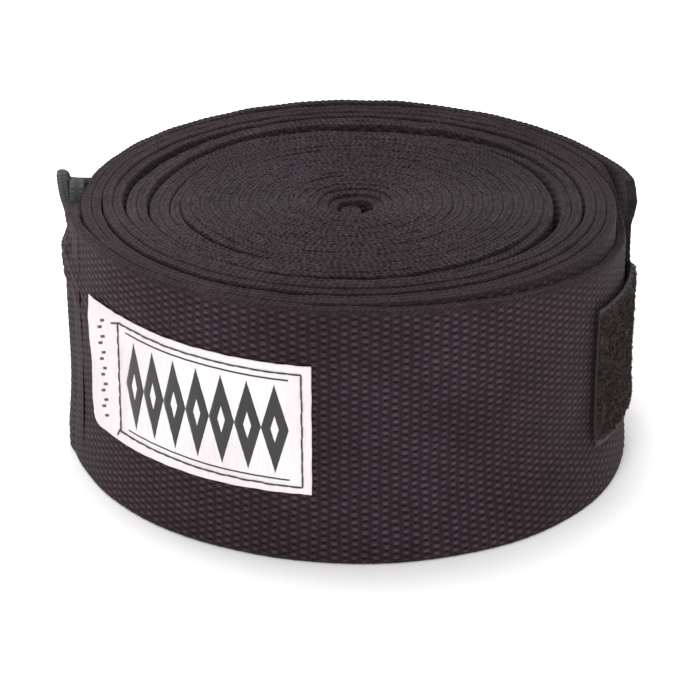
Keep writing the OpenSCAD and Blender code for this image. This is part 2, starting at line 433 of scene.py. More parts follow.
def core_path(step):
    """The inner windings: ply A inwards, the fold at the core and ply B outwards.

    Returns the middle line, its left normals, heights, thickness and length run."""
    stop = VALLEY_Q - CROSSING_Q
    parts = {}
    for ply, start in (("A", CORE_Q), ("B", CORE_Q + 1)):
        way = ply_ways(ply, way_at(ply, start), way_at(ply, stop), step)
        line = polar(middle_radius(ply, way), angle_of(way), 0)[:, :2]
        parts[ply] = line, *edge_heights(ply, way)
    a_line, a_top, a_low = parts["A"]
    b_line, b_top, b_low = parts["B"]
    # The two plies leave the winding side by side, arch over the middle and end in a hairpin
    # of radius 1.
    start = (a_line[0] + b_line[0]) / 2
    out = unit(start)
    turn = np.array([-out[1], out[0]])
    spine = hermite(start, start - out * 4.3, turn * 9, -turn * 8, 26)
    side = left_of(spine)
    bend = np.linspace(0, math.pi, 9)[1:-1, None]
    tip = spine[-1] + side[-1] * np.cos(bend) + unit(spine[-1] - spine[-2]) * np.sin(bend)
    fold = np.vstack([(spine + side)[1:], tip, (spine - side)[::-1][:-1]])
    line = np.vstack([a_line[::-1], fold, b_line])
    sunk = np.linspace(0, 1, len(fold))
    fold_top = a_top[0] + (b_top[0] - a_top[0]) * sunk - 0.5 * np.sin(math.pi * sunk)
    top = np.concatenate([a_top[::-1], fold_top, b_top])
    low = np.concatenate([a_low[::-1], np.full(len(fold), 0.3), b_low])
    run = run_along(line)
    thick = CLOTH_T * (1 - 0.05 * (1 + wobble(run / 19, 11)))
    return line, left_of(line), top, low, thick, run


def band_face(ply, way, z):
    """Radius of the outer face of the outermost cloth."""
    return roll_radius(depth_of(ply, way), angle_of(way)) + slack(ply, way, z) - 0.08


def on_face(ply, way, z, lift=0.0):
    """Points on the outer face of the outermost cloth, lifted off it."""
    way, z = np.asarray(way, float), np.asarray(z, float)
    return polar(band_face(ply, way, z) + lift, angle_of(way), z)


def merged(parts):
    """Points, faces and texture places of several closed patches as one.

    Each part is two grids of points, an outer and an inner face, and the grid's places."""
    points, faces, uvs, first = [], [], [], 0
    for outer, inner, uv in parts:
        rows, columns = outer.shape[:2]
        n = rows * columns
        grid = np.arange(n).reshape(rows, columns)
        front = np.stack([grid[:-1, :-1], grid[:-1, 1:], grid[1:, 1:], grid[1:, :-1]], -1).reshape(-1, 4)
        rim = np.concatenate([grid[0, :-1], grid[:-1, -1], grid[-1, :0:-1], grid[:0:-1, 0]])
        after = np.roll(rim, -1)
        side = np.stack([rim, rim + n, after + n, after], -1)
        faces += (np.vstack([front, front[:, ::-1] + n, side]) + first).tolist()
        points += [outer.reshape(-1, 3), inner.reshape(-1, 3)]
        uvs += [uv.reshape(-1, 2)] * 2
        first += 2 * n
    return np.vstack(points), faces, np.vstack(uvs)


def thin_sheet(name, outer, inner, uv, material, edge=None):
    """A closed sheet from two grids of points, its outer and its inner face."""
    points, faces, uv = merged([(outer, inner, uv)])
    edge = None if edge is None else np.concatenate([edge.ravel()] * 2)
    return make_mesh(name, points, faces, material, uv, edge)


def threads(name, lines, radius, material, sides=6, taper=0.35):
    """Many short threads in one mesh. lines is (threads, points, 3)."""
    lines = np.asarray(lines, float)
    count, n = lines.shape[:2]
    tangent = unit(np.gradient(lines, axis=1))
    # A slight tilt, so that a thread that stands straight out still has a side
    outward = unit(lines.mean(1) * [1, 1, 0])[:, None, :] + np.array([0, 0, 0.013])
    across = unit(np.cross(tangent, outward))
    other = np.cross(tangent, across)
    turn = np.linspace(0, 2 * math.pi, sides, endpoint=False)
    t = np.linspace(-1, 1, n)
    r = radius * (taper + (1 - taper) * np.sqrt(1 - t**4))[None, :, None, None]
    ring = across[:, :, None] * np.cos(turn)[:, None] + other[:, :, None] * np.sin(turn)[:, None]
    points = (lines[:, :, None] + ring * r).reshape(-1, 3)
    one = tube_faces(n, sides)
    start = (np.arange(count) * n * sides)[:, None, None]
    faces = (one[None] + start).reshape(-1, 4).tolist()
    cap = np.arange(sides)
    faces += (start[:, 0] + cap[::-1]).tolist()
    faces += (start[:, 0] + cap + (n - 1) * sides).tolist()
    uv = np.stack(np.broadcast_arrays(t[None, :, None] * n * radius, turn[None, None] * radius), -1)
    uv = np.broadcast_to(uv, (count, n, sides, 2)).reshape(-1, 2)
    return make_mesh(name, points, faces, material, uv)


def arches(starts, stops, tall, place):
    """Stitches from starts to stops, arching by tall. place turns (way, z, lift) into points."""
    t = np.linspace(0, 1, 7)[None, :]
    way = starts[:, :1] + (stops[:, :1] - starts[:, :1]) * t
    z = starts[:, 1:] + (stops[:, 1:] - starts[:, 1:]) * t
    return place(way, z, tall * np.sin(math.pi * t) - 0.25 * tall)


def stitch_row(start, stop, pitch, length, jitter):
    """Start and stop of each stitch on a straight row between two (way, z) points."""
    start, stop = np.array(start, float), np.array(stop, float)
    line = stop - start
    span_mm = math.hypot(line[0] * WAY_MM, line[1])
    count = int(span_mm / pitch)
    middle = (np.arange(count) + 0.5) / count
    half = length / span_mm / 2
    shift = jitter * wobble(middle * count / 3.1, 5)
    side = np.array([-line[1] / WAY_MM, line[0] * WAY_MM]) / span_mm
    offset = shift[:, None] * side
    row = start + middle[:, None] * line + offset
    return row - half * line, row + half * line


def joined(rows):
    """Starts and stops of several rows of stitches."""
    return [np.vstack(ends) for ends in zip(*rows)]


# Materials ---------------------------------------------------------------------------------------


class Look:
    """One procedural material, built node by node."""

    def __init__(self, name, roughness, **fixed):
        self.material = bpy.data.materials.new(name)
        self.material.use_nodes = True
        self.tree = self.material.node_tree
        self.tree.nodes.clear()
        self.out = self.add("ShaderNodeOutputMaterial")
        self.skin = self.add("ShaderNodeBsdfPrincipled")
        self.link(self.skin.outputs[0], self.out.inputs["Surface"])
        self.skin.inputs["Roughness"].default_value = roughness
        for socket, value in fixed.items():
            self.skin.inputs[socket.replace("_", " ")].default_value = value
        self.uv = self.add("ShaderNodeUVMap")
        self.uv.uv_map = "cloth"
        self.place = self.add("ShaderNodeTexCoord").outputs["Object"]

    def add(self, kind):
        return self.tree.nodes.new(kind)

    def link(self, a, b):
        self.tree.links.new(a, b)

    def put(self, socket, value):
        if isinstance(value, bpy.types.NodeSocket):
            self.link(value, socket)
        else:
            socket.default_value = value

    def math(self, how, a, b=0.0):
        made = self.add("ShaderNodeMath")
        made.operation = how
        self.put(made.inputs[0], a)
        self.put(made.inputs[1], b)
        return made.outputs[0]

    def times(self, a, b):
        return self.math("MULTIPLY", a, b)

    def plus(self, a, b):
        return self.math("ADD", a, b)

    def ramp(self, value, low, high, to_low=0.0, to_high=1.0):
        """A smooth step from one value at low to another at high."""
        made = self.add("ShaderNodeMapRange")
        made.interpolation_type = "SMOOTHSTEP"
        for socket, v in zip(made.inputs[:5], (value, low, high, to_low, to_high)):
            self.put(socket, v)
        return made.outputs[0]

    def noise(self, per_mm, detail=3.0, where=None, stretch=(1, 1, 1)):
        made = self.add("ShaderNodeTexNoise")
        spread = self.add("ShaderNodeMapping")
        spread.inputs["Scale"].default_value = stretch
        self.put(spread.inputs["Vector"], where or self.place)
        self.link(spread.outputs[0], made.inputs["Vector"])
        made.inputs["Scale"].default_value = per_mm / MM
        made.inputs["Detail"].default_value = detail
        return made.outputs[0]

    def mix(self, share, a, b):
        made = self.add("ShaderNodeMix")
        made.data_type = "RGBA"
        for socket, v in ((made.inputs["Factor"], share), (made.inputs[6], a), (made.inputs[7], b)):
            self.put(socket, (*v, 1.0) if isinstance(v, tuple) else v)
        return made.outputs[2]

    def shade(self, colour, share):
        """The colour times a number."""
        made = self.add("ShaderNodeVectorMath")
        made.operation = "SCALE"
        self.put(made.inputs[0], colour)
        self.put(made.inputs["Scale"], share)
        return made.outputs[0]

    def first_two(self, place):
        """The first two parts of a place, in millimetres."""
        split = self.add("ShaderNodeSeparateXYZ")
        self.link(place, split.inputs[0])
        return [self.times(split.outputs[k], 1 / MM) for k in (0, 1)]

    def along_across(self):
        return self.first_two(self.uv.outputs[0])

    def wave(self, value, period):
        """Cosine of a length in millimetres with a period in millimetres."""
        return self.math("COSINE", self.times(value, 2 * math.pi / period))

    def attribute(self, name):
        made = self.add("ShaderNodeAttribute")
        made.attribute_name = name
        return made.outputs["Fac"]

    def finish(self, colour, height, depth_mm, strength=1.0, roughness=None):
        self.put(self.skin.inputs["Base Color"], colour)
        if roughness is not None:
            self.put(self.skin.inputs["Roughness"], roughness)
        bump = self.add("ShaderNodeBump")
        bump.inputs["Strength"].default_value = strength
        bump.inputs["Distance"].default_value = depth_mm * MM
        self.link(height, bump.inputs["Height"])
        self.link(bump.outputs[0], self.skin.inputs["Normal"])
        return self.material


# The groove colour is painted shade between the knit's beads.
KNIT_GROOVE_SHADE = (0.0052, 0.0016, 0.0032)
KNIT_BEAD = (0.0485, 0.0300, 0.0385)
FELT_DARK = (0.0038, 0.0022, 0.0032)
FELT_LIGHT = (0.0325, 0.0222, 0.0278)
FELT_OUTSIDE = (0.0170, 0.0100, 0.0132)
# Darker, redder felt for the sunk core: partly its tint, partly painted shade.
FELT_CORE_TINT_AND_SHADE = (0.0170, 0.0082, 0.0108)


def knit_look(name, relief_in_bump):
    """Double-faced charcoal knit: staggered light beads over grooves darkened with painted shade, felted
    grey at the edges.
    """
    look = Look(name, 0.9, Specular_IOR_Level=0.12, Sheen_Weight=0.05, Sheen_Roughness=0.5)
    s, z = look.along_across()
    column = look.wave(s, 2 * COLUMN_P)
    ridge = look.math("ABSOLUTE", column)
    bead = look.times(look.math("SIGN", column), look.math("POWER", ridge, BEAD_POWER))
    bead = look.times(bead, look.wave(z, ROW_P))
    groove = look.math("SUBTRACT", 1.0, ridge)
    relief = look.math("SUBTRACT", bead, look.times(groove, GROOVE))
    yarn = look.noise(2.6, 3, look.uv.outputs[0], (0.5, 1.3, 1))
    felt = look.noise(1.5, 5)
    wide = look.noise(0.05, 3)
    patch = look.noise(0.25, 2)
    edge = look.attribute("edge")
    # The face colour follows the relief's height, so painted shade darkens the grooves between the beads.
    share = look.math("POWER", look.ramp(relief, -1.2, 0.95), 1.4)
    face = look.mix(share, KNIT_GROOVE_SHADE, KNIT_BEAD)
    twill = look.wave(look.plus(s, look.times(z, 1.3)), 1.15)
    grain = look.plus(felt, look.times(twill, 0.09))
    rim = look.mix(look.ramp(grain, 0.3, 0.72), FELT_DARK, FELT_LIGHT)
    # The felt is browner round the outside, and darker and redder at the sunk core: partly its tint, partly
    # painted shade in the recess.
    right, back = look.first_two(look.place)
    radius = look.math("SQRT", look.plus(look.math("POWER", right, 2.0), look.math("POWER", back, 2.0)))
    rim = look.mix(look.ramp(radius, 36, 50, 0.0, 0.55), rim, FELT_OUTSIDE)
    rim = look.mix(look.ramp(radius, 2.5, 8.0, 0.75, 0.0), rim, FELT_CORE_TINT_AND_SHADE)
    # Painted light and shade: the felt edges are painted lighter towards the left and darker towards the
    # right.
    colour = look.mix(edge, face, look.shade(rim, look.ramp(right, -15, 50, 1.15, 0.85)))
    # Painted light: the whole colour is painted lighter towards the far left.
    colour = look.shade(colour, look.ramp(right, -56, -20, 1.2, 1.0))
    tone = look.times(look.ramp(wide, 0.3, 0.7, 0.84, 1.16), look.ramp(patch, 0.25, 0.75, 0.88, 1.12))
    tone = look.times(tone, look.ramp(yarn, 0.25, 0.75, 0.75, 1.25))
    colour = look.shade(colour, tone)
    inside = look.math("SUBTRACT", 1.0, edge)
    height = look.times(look.times(relief, inside), relief_in_bump)
    height = look.plus(height, look.times(yarn, 0.55))
    height = look.plus(height, look.times(grain, look.ramp(edge, 0.0, 1.0, 0.9, 2.4)))
    return look.finish(colour, height, 0.12, 0.8, look.ramp(yarn, 0.3, 0.7, 0.82, 0.98))


def label_look():
    """White satin ribbon with fine ribs, a little grey at the edges."""
    look = Look("label_ribbon", 0.6, Specular_IOR_Level=0.25, Sheen_Weight=0.05, Sheen_Roughness=0.35)
    s, z = look.along_across()
    weave = look.times(look.wave(s, 0.42), look.wave(z, 0.3))
    slub = look.noise(0.35, 3, look.uv.outputs[0], (4, 0.6, 1))
    wide = look.noise(0.08, 3)
    tint = look.mix(look.ramp(wide, 0.3, 0.7), (0.645, 0.60, 0.61), (0.70, 0.665, 0.675))
    # Greyer and pinker near the ribbon's edges.
    greyed_edges = look.mix(look.times(look.attribute("edge"), 0.6), tint, (0.67, 0.585, 0.61))
    tone = look.times(look.ramp(slub, 0.3, 0.7, 0.95, 1.02), look.ramp(weave, -1, 1, 0.94, 1.0))
    colour = look.shade(greyed_edges, tone)
    height = look.plus(look.times(weave, 0.5), look.times(slub, 0.6))
    return look.finish(colour, height, 0.03, 0.7)


def thread_look(name, dark, light, rough, twist_mm):
    """Twisted sewing thread."""
    look = Look(name, rough, Specular_IOR_Level=0.35, Sheen_Weight=0.2, Sheen_Roughness=0.4)
    s, z = look.along_across()
    ply = look.wave(look.plus(s, z), twist_mm)
    fuzz = look.noise(3.0, 3)
    wide = look.noise(0.15, 2)
    share = look.ramp(look.plus(ply, look.times(fuzz, 1.5)), -0.6, 2.0)
    colour = look.shade(look.mix(share, dark, light), look.ramp(wide, 0.3, 0.7, 0.88, 1.12))
    return look.finish(colour, look.plus(ply, look.times(fuzz, 1.4)), 0.05, 0.8)


def woven_tape_look(name, dark, light, rib_mm):
    """A plain woven tape: ribs across it and fine warp lines along it."""
    look = Look(name, 0.88, Specular_IOR_Level=0.15, Sheen_Weight=0.10, Sheen_Roughness=0.5)
    s, z = look.along_across()
    rib = look.times(look.wave(s, rib_mm), look.wave(z, rib_mm * 1.15))
    fuzz = look.noise(2.5, 3)
    wide = look.noise(0.12, 3)
    share = look.ramp(look.plus(rib, look.times(fuzz, 1.2)), -0.5, 1.7)
    colour = look.shade(look.mix(share, dark, light), look.ramp(wide, 0.3, 0.7, 0.85, 1.15))
    height = look.plus(look.times(rib, 0.6), look.times(fuzz, 0.8))
    return look.finish(colour, height, 0.1, 0.9)


def pile_look():
    """Brushed loops: matted, olive-charcoal, paler where they are worn."""
    look = Look("loop_pile", 0.95, Specular_IOR_Level=0.08, Sheen_Weight=0.06, Sheen_Roughness=0.5)
    fine = look.noise(1.6, 4)
    clump = look.noise(0.45, 3)
    worn = look.noise(0.09, 2)
    colour = look.mix(look.ramp(fine, 0.3, 0.72), (0.0060, 0.0036, 0.0029), (0.0410, 0.0280, 0.0225))
    colour = look.mix(look.ramp(worn, 0.5, 0.75, 0.0, 0.35), colour, (0.034, 0.026, 0.023))
    colour = look.shade(colour, look.ramp(clump, 0.3, 0.7, 0.78, 1.2))
    return look.finish(colour, look.plus(fine, clump), 0.25, 0.9)


def hook_look():
    """Smooth dark nylon."""
    look = Look("hook_nylon", 0.5, Specular_IOR_Level=0.45)
    fine = look.noise(1.2, 3)
    wide = look.noise(0.1, 2)
    colour = look.mix(look.ramp(fine, 0.3, 0.7), (0.009, 0.009, 0.010), (0.021, 0.020, 0.021))
    colour = look.shade(colour, look.ramp(wide, 0.3, 0.7, 0.85, 1.2))
    return look.finish(colour, fine, 0.04, 0.6, look.ramp(fine, 0.3, 0.7, 0.42, 0.6))


def paper_look():
    """The pale studio floor."""
    look = Look("studio_paper", 0.95, Specular_IOR_Level=0.1)
    grain = look.noise(0.08, 3)
    colour = look.mix(look.ramp(grain, 0.3, 0.7), (0.93, 0.928, 0.935), (0.945, 0.943, 0.948))
    return look.finish(colour, grain, 0.02, 0.2)


KNIT_DENSE = knit_look("knit_face", 0.25)
KNIT = knit_look("knit_wound", 1.2)
LABEL = label_look()
LABEL_THREAD = thread_look("label_thread", (0.016, 0.016, 0.017), (0.05, 0.05, 0.05), 0.7, 0.35)
SEAM_THREAD = thread_look("seam_thread", (0.007, 0.005, 0.006), (0.022, 0.017, 0.019), 0.75, 0.3)
LOOP_TAPE = woven_tape_look("thumb_loop_tape", (0.026, 0.029, 0.027), (0.072, 0.080, 0.075), 0.5)
SELVEDGE = woven_tape_look("closure_selvedge", (0.015, 0.0110, 0.0118), (0.060, 0.046, 0.050), 0.55)
HOOK = hook_look()
PILE = pile_look()


# The band ----------------------------------------------------------------------------------------

# Sampling: millimetres between columns of points on the outermost cloth and in the roll, and rows
FINE = 0.33
COARSE = 0.5
DENSE_ROWS = 205
# Where the wound part of each ply ends and its outermost turn begins
OUTERMOST_WAY = {"A": LOOP_END_A - 210 + 360, "B": LOOP_END_A - 100}


def make_inner_band():
    line, normal, top, low, thick, run = core_path(COARSE)
    piece = strip("wound_inner_band", line, normal, top, low, thick, run, KNIT)
    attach(piece, "inner_windings")
    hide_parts("band_inner_windings", "band_folded_core")


def make_bridges():
    """Where each ply steps up from the inner windings to the rest."""
    for ply in "AB":
        way0 = way_at(ply, VALLEY_Q - CROSSING_Q)
        way1 = way_at(ply, VALLEY_Q + CROSSING_Q)
        piece = ply_strip("bridge_ply_" + ply.lower(), ply, way0, way1, COARSE, KNIT, 6, 2)
        inner, outer = (on_face(ply, w, BAND_W / 2) * MM for w in (way0, way1))
        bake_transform(piece)


def make_outer_band():
    for ply in "AB":
        way0, way1 = way_at(ply, VALLEY_Q + CROSSING_Q), OUTERMOST_WAY[ply]
        piece = ply_strip("wound_outer_ply_" + ply.lower(), ply, way0, way1, COARSE, KNIT, 6, 2)
        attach(piece, "roll")
        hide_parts("band_outer_windings")


def make_turns():
    """The last turn of each ply, up to where its free end begins."""
    for name, ply, end in (("front_turn", "B", "loop_end"), ("back_turn", "A", "closure_end")):
        way1 = HINGE_WAY[end]
        piece = ply_strip(name, ply, OUTERMOST_WAY[ply], way1, FINE, KNIT_DENSE, DENSE_ROWS, 6, True)
        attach(piece, "roll")
        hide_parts("band_" + name)


def bend_with(piece):
    """Bakes the piece's placement into its mesh."""
    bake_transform(piece)


def make_ends():
    for end, ply, way1 in (("loop_end", "B", LOOP_END_WAY), ("closure_end", "A", CLOSURE_END_WAY)):
        piece = ply_strip("cloth_" + end, ply, HINGE_WAY[end], way1, FINE, KNIT_DENSE, DENSE_ROWS, 30, True)
        bend_with(piece)
        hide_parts("band_" + end)


# The label ---------------------------------------------------------------------------------------

LABEL_WAY = (LOOP_END_A + 153.2, LOOP_END_A + 97.3)
LABEL_T = 0.32
LABEL_LIFT = 0.12
SEAM_WAY = (LOOP_END_A + 141.4, LOOP_END_A + 99.2)


def label_heights(way):
    """Heights of the ribbon's lower and upper edge."""
    share = (way - LABEL_WAY[0]) / (LABEL_WAY[1] - LABEL_WAY[0])
    low, high = LABEL_LOW[2], LABEL_HIGH[2]
    return low + 0.2 - 0.2 * share, high + 0.9 - 1.2 * share


def seam_heights(way):
    """Heights of the lower and the upper row of stitches."""
    low, high = label_heights(way)
    share = (way - SEAM_WAY[0]) / (SEAM_WAY[1] - SEAM_WAY[0])
    return low + 2.3 - 1.0 * share, high - 1.5 - 0.2 * share


def label_lift(way, z):
    """The ribbon is drawn down along its stitches and stands off a little between and outside them."""
    low, high = seam_heights(way)
    sides = np.minimum(np.abs(way - SEAM_WAY[0]), np.abs(way - SEAM_WAY[1])) * WAY_MM
    inside = (way < SEAM_WAY[0]) & (way > SEAM_WAY[1])
    rows = np.minimum(np.abs(z - low), np.abs(z - high))
    near = np.minimum(np.where(inside, rows, 9), np.where((z > low) & (z < high), sides, 9))
    puff = 0.14 * smooth(near, 0, 2.2) + 0.05 * wobble(way / 4.5 + z / 9, 3) + 0.04 * wobble(z / 5, 4)
    strip_out = smooth((way - SEAM_WAY[0]) * WAY_MM, 2, 11) * (0.28 + 0.2 * wobble(z / 19, 2))
    return LABEL_LIFT + puff + strip_out


def label_point(way, z, lift=0.0):
    return on_face("B", way, z, label_lift(way, z) + lift)


def make_label():
    columns, rows = 230, 112
    u = np.linspace(0, 1, columns)[None, :]
    v = np.linspace(0, 1, rows)[:, None]
    way = LABEL_WAY[0] + (LABEL_WAY[1] - LABEL_WAY[0]) * u + 0 * v
    low, high = label_heights(way)
    corner = np.clip(1 - (LABEL_WAY[0] - way) * WAY_MM / 2.6, 0, 1) ** 2
    low = low + 2.0 * corner + 0.10 * wobble(way / 7, 0)
    high = high + 0.10 * wobble(way / 6, 1)
    z = low + (high - low) * v
    way = way + 0.10 * wobble(z / 8, 2) * (np.abs(u - 0.5) * 2) ** 8
    edge_mm = np.minimum(np.minimum(z - low, high - z), np.minimum(u, 1 - u) * 53)
    round_off = np.sqrt(1 - np.clip(1 - edge_mm / 0.35, 0, 1) ** 2)
    outer = label_point(way, z, LABEL_T / 2 + (LABEL_T / 2) * round_off)
    inner = label_point(way, z, LABEL_T / 2 - (LABEL_T / 2) * round_off)
    uv = np.stack([way * WAY_MM, z], -1)
    piece = thin_sheet("label_ribbon", outer, inner, uv, LABEL, 1 - smooth(edge_mm, 0.2, 1.6))
    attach(piece, "roll")
    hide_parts("woven_label")


def woven_patch(way, z, lift, tall):
    """A raised patch of brocade between two grids of places on the label."""
    ragged = 0.05 * wobble(z / 0.9, 0) / WAY_MM
    outer = label_point(way + ragged, z, lift + tall)
    inner = label_point(way + ragged, z, lift - 0.03)
    return outer, inner, np.stack([way * WAY_MM, z], -1)


def lozenge(way, z, half_way, half_z, lift, tall):
    """A raised lozenge about a place on the label."""
    v = np.linspace(-1, 1, 41)[:, None]
    u = np.linspace(-1, 1, 9)[None, :]
    wide = np.maximum(1 - np.abs(v), 0.02)
    return woven_patch(way - u * wide * half_way, z + half_z * v + 0 * u, lift, tall)


def bar(way0, way1, z0, z1, wide, tall=0.05, columns=60, rows=4):
    """A raised bar from (way0, z0) to (way1, z1)."""
    u = np.linspace(0, 1, columns)[None, :]
    v = np.linspace(-0.5, 0.5, rows)[:, None]
    return woven_patch(way0 + (way1 - way0) * u + 0 * v, z0 + (z1 - z0) * u + v * wide, LABEL_T, tall)


def make_motif():
    """Plain woven ornament: a chain of tall lozenges between two thin bars, and a column of dashes."""
    first, last = SEAM_WAY[0] - 2.2, SEAM_WAY[1] + 2.4
    count = 7
    pitch = (last - first) / count
    dark, light = [], []
    for i in range(count):
        way = first + (i + 0.5) * pitch
        low, high = seam_heights(way)
        middle, half = (low + high) / 2, (high - low) / 2 - 2.4
        dark.append(lozenge(way, middle, abs(pitch) * 0.5, half, LABEL_T, 0.05))
        light.append(lozenge(way, middle, abs(pitch) * 0.15, half * 0.3, LABEL_T + 0.05, 0.04))
    for row, inset in ((0, 1.25), (1, -1.25)):
        ends = [seam_heights(way)[row] + inset for way in (first, last)]
        dark.append(bar(first, last, *ends, 0.3))
    for i in range(13):
        way = SEAM_WAY[0] + (5.6 + 0.9 * (i % 2)) / WAY_MM
        z = LABEL_LOW[2] + 3.4 + i * 1.62
        dark.append(bar(way + 0.75, way - 0.75, z, z + 0.55, 0.55, 0.04, 8))
    for name, parts, look, kind in (("label_motif", dark, LABEL_THREAD, "label_thread"),
                                    ("label_motif_lights", light, LABEL, "label")):
        points, faces, uv = merged(parts)
        piece = make_mesh(name, points, faces, look, uv)
        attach(piece, "roll")


def make_label_stitches():
    """One row of stitches round the label's rectangle."""
    w0, w1 = SEAM_WAY
    (low0, high0), (low1, high1) = seam_heights(w0), seam_heights(w1)
    corners = [(w0 + 0.3, high0), (w1, high1), (w1 - 0.1, low1), (w0 + 0.6, low0)]
    rows = [stitch_row(a, b, 2.35, 2.42, 0.10) for a, b in zip(corners, corners[1:] + corners[:1])]
    # The seam starts and stops with a short overlap past its left corners
    ticks = [
        ((w0 + 2.6, high0 - 0.9), (w0 + 0.2, high0 - 0.2)),
        ((w0 + 1.6, low0 - 1.2), (w0 + 0.5, low0 + 0.6)),
    ]
    rows += [(np.array([a], float), np.array([b], float)) for a, b in ticks]
    starts, stops = joined(rows)
    lines = arches(starts, stops, 0.10, lambda way, z, lift: label_point(way, z, LABEL_T + lift + 0.06))
    piece = threads("label_seam", lines, 0.17, LABEL_THREAD, 8, 0.75)
    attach(piece, "roll")
    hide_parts("label_stitches")


# The loop end and the thumb loop -----------------------------------------------------------------


def hem_point(way, z, lift):
    return on_face("B", way, z, HEM_T / 2 + lift)


# The ways of the two rows of stitches that hold the hem, and the bar tack's ends and stitches
HEM_ROWS = (-7.9, -11.0)
TACK_NEAR, TACK_FAR = -1.4, -5.4
TACK_LOW, TACK_PITCH, TACK_COUNT = 37.2, 0.62, 12


def make_hem_stitches():
    """The hem's two rows of stitches, and the bar tack that locks the thumb loop to the hem."""
    rows = [stitch_row((way, 3.0), (way, 45.5), 2.6, 2.3, 0.12) for way in HEM_ROWS]
    starts, stops = joined(rows)
    piece = threads("hem_seam", arches(starts, stops, 0.14, hem_point), 0.16, SEAM_THREAD, 8)
    bend_with(piece)
    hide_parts("loop_hem_stitches")
    z = TACK_LOW + TACK_PITCH * np.arange(TACK_COUNT)
    starts = np.stack([np.full_like(z, TACK_NEAR), z], -1)
    stops = np.stack([np.full_like(z, TACK_FAR), z + 0.3], -1)
    piece = threads("bar_tack", arches(starts, stops, 0.5, hem_point), 0.22, SEAM_THREAD, 8)
    bend_with(piece)
    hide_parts("thumb_loop_bar_tack")


def thumb_loop_stations():
    """The tape's middle line from its root, round the loop and back.

    Each station holds angle, radius, height, width and thickness. Those at the back hold only
    angle and height, as the tape lies against the roll there."""
    top, low = LOOP_HIGH[2], LOOP_LOW[2] + 2.7
    rise = [
        (179.0, 52.9, top - 14.5, 2.8, 1.5), (178.8, 53.0, top - 10, 2.6, 1.9),
        (178.5, 52.8, top - 6.6, 2.5, 2.8), (177.9, 52.7, top - 4.1, 2.6, 3.2),
        (175.6, 53.2, top - 4.6, 3.0, 2.8), (173.6, 53.9, top - 9.6, 3.6, 2.0),
        (172.3, 54.3, top - 14.5, 4.8, 1.5),
    ]
    round_the_back = [
        (171, 33), (169, 24), (162, low + 2), (150, low), (137, low + 1.6), (128.5, low + 9),
        (126.8, low + 17), (131, low + 25), (143, low + 29.3), (156, low + 29.9), (166, low + 32),
    ]
    fall = [
        (171.2, 55.7, top - 6.2, 4.0, 1.9), (174.2, 55.8, top - 3.4, 2.9, 2.3),
        (176.4, 55.8, top - 2.3, 2.5, 2.2), (177.9, 55.3, top - 4.4, 2.5, 2.2),
        (178.4, 54.4, top - 8.0, 2.6, 2.1), (178.8, 53.6, top - 12.5, 3.0, 1.5),
        (179.1, 53.4, top - 15.5, 3.2, 1.4),
    ]
    middle = []
    for i, (angle, z) in enumerate(round_the_back):
        face = band_face("A", LOOP_END_A - angle + 360, z)
        middle.append((angle, face + 1.25 + 0.25 * math.sin(1.9 * i), z, 5.4, 1.35))
    return np.array(rise + middle + fall)


def smooth_loop(stations, steps):
    """A closed Catmull-Rom curve through the stations."""
    t = np.linspace(0, 1, steps, endpoint=False)[:, None]
    parts = []
    for i in range(len(stations)):
        p0, p1, p2, p3 = (stations[(i + k - 1) % len(stations)] for k in range(4))
        parts.append(0.5 * (2 * p1 + (p2 - p0) * t + (2 * p0 - 5 * p1 + 4 * p2 - p3) * t**2
                            + (3 * p1 - p0 - 3 * p2 + p3) * t**3))
    return np.vstack(parts)


def make_thumb_loop():
    line = smooth_loop(thumb_loop_stations(), 14)
    middle = polar(line[:, 1], line[:, 0], line[:, 2])
    tangent = unit(np.roll(middle, -1, 0) - np.roll(middle, 1, 0))
    out = polar(1, line[:, 0], 0)
    out = unit(out - tangent * (out * tangent).sum(1)[:, None])
    across = np.cross(tangent, out)
    run = run_along(middle)
    twist = (0.22 * wobble(run / 21, 9) * smooth(line[:, 3], 2.5, 5))[:, None]
    cos, sin = np.cos(twist), np.sin(twist)
    out, across = out * cos + across * sin, across * cos - out * sin
    sides = 24
    turn = np.linspace(0, 2 * math.pi, sides, endpoint=False)
    c, s = np.cos(turn), np.sin(turn)
    # A rounded oblong with a shallow channel along its middle, like a folded tape
    wide = np.sign(c) * np.abs(c) ** 0.6
    tall = np.sign(s) * np.abs(s) ** 0.8 * (1 - 0.22 * (1 - np.abs(c)) ** 2)
    rib = 1 + 0.012 * np.cos(2 * math.pi * run / 1.05) + 0.05 * wobble(run / 6, 3)
    aside = wide * line[:, 3:4] / 2
    outward = tall * rib[:, None] * line[:, 4:5] / 2
    points = middle[:, None] + across[:, None] * aside[..., None] + out[:, None] * outward[..., None]
    faces = tube_faces(len(run), sides, True).tolist()
    # The tape's two faces lie apart in the texture.
    uv = np.stack(np.broadcast_arrays(run[:, None], aside + np.sign(s) * 4), -1).reshape(-1, 2)
    piece = make_mesh("thumb_loop_tape", points.reshape(-1, 3), faces, LOOP_TAPE, uv)
    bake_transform(piece)
    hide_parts("thumb_loop")


# The closure -------------------------------------------------------------------------------------

# Width of the two tapes, how far each lies above the band's face, their thicknesses, and the
# selvedges that the pile leaves bare
TAPE_W = TAPE_HIGH[2] - TAPE_LOW[2]
HOOK_LIFT = 0.62
HOOK_GROUND_T = 0.3
LOOP_LIFT = HOOK_LIFT + HOOK_GROUND_T + 0.05
LOOP_GROUND_T = 0.38
PILE_T = 0.7
SELVEDGE_LOW, SELVEDGE_HIGH = 1.5, 0.9


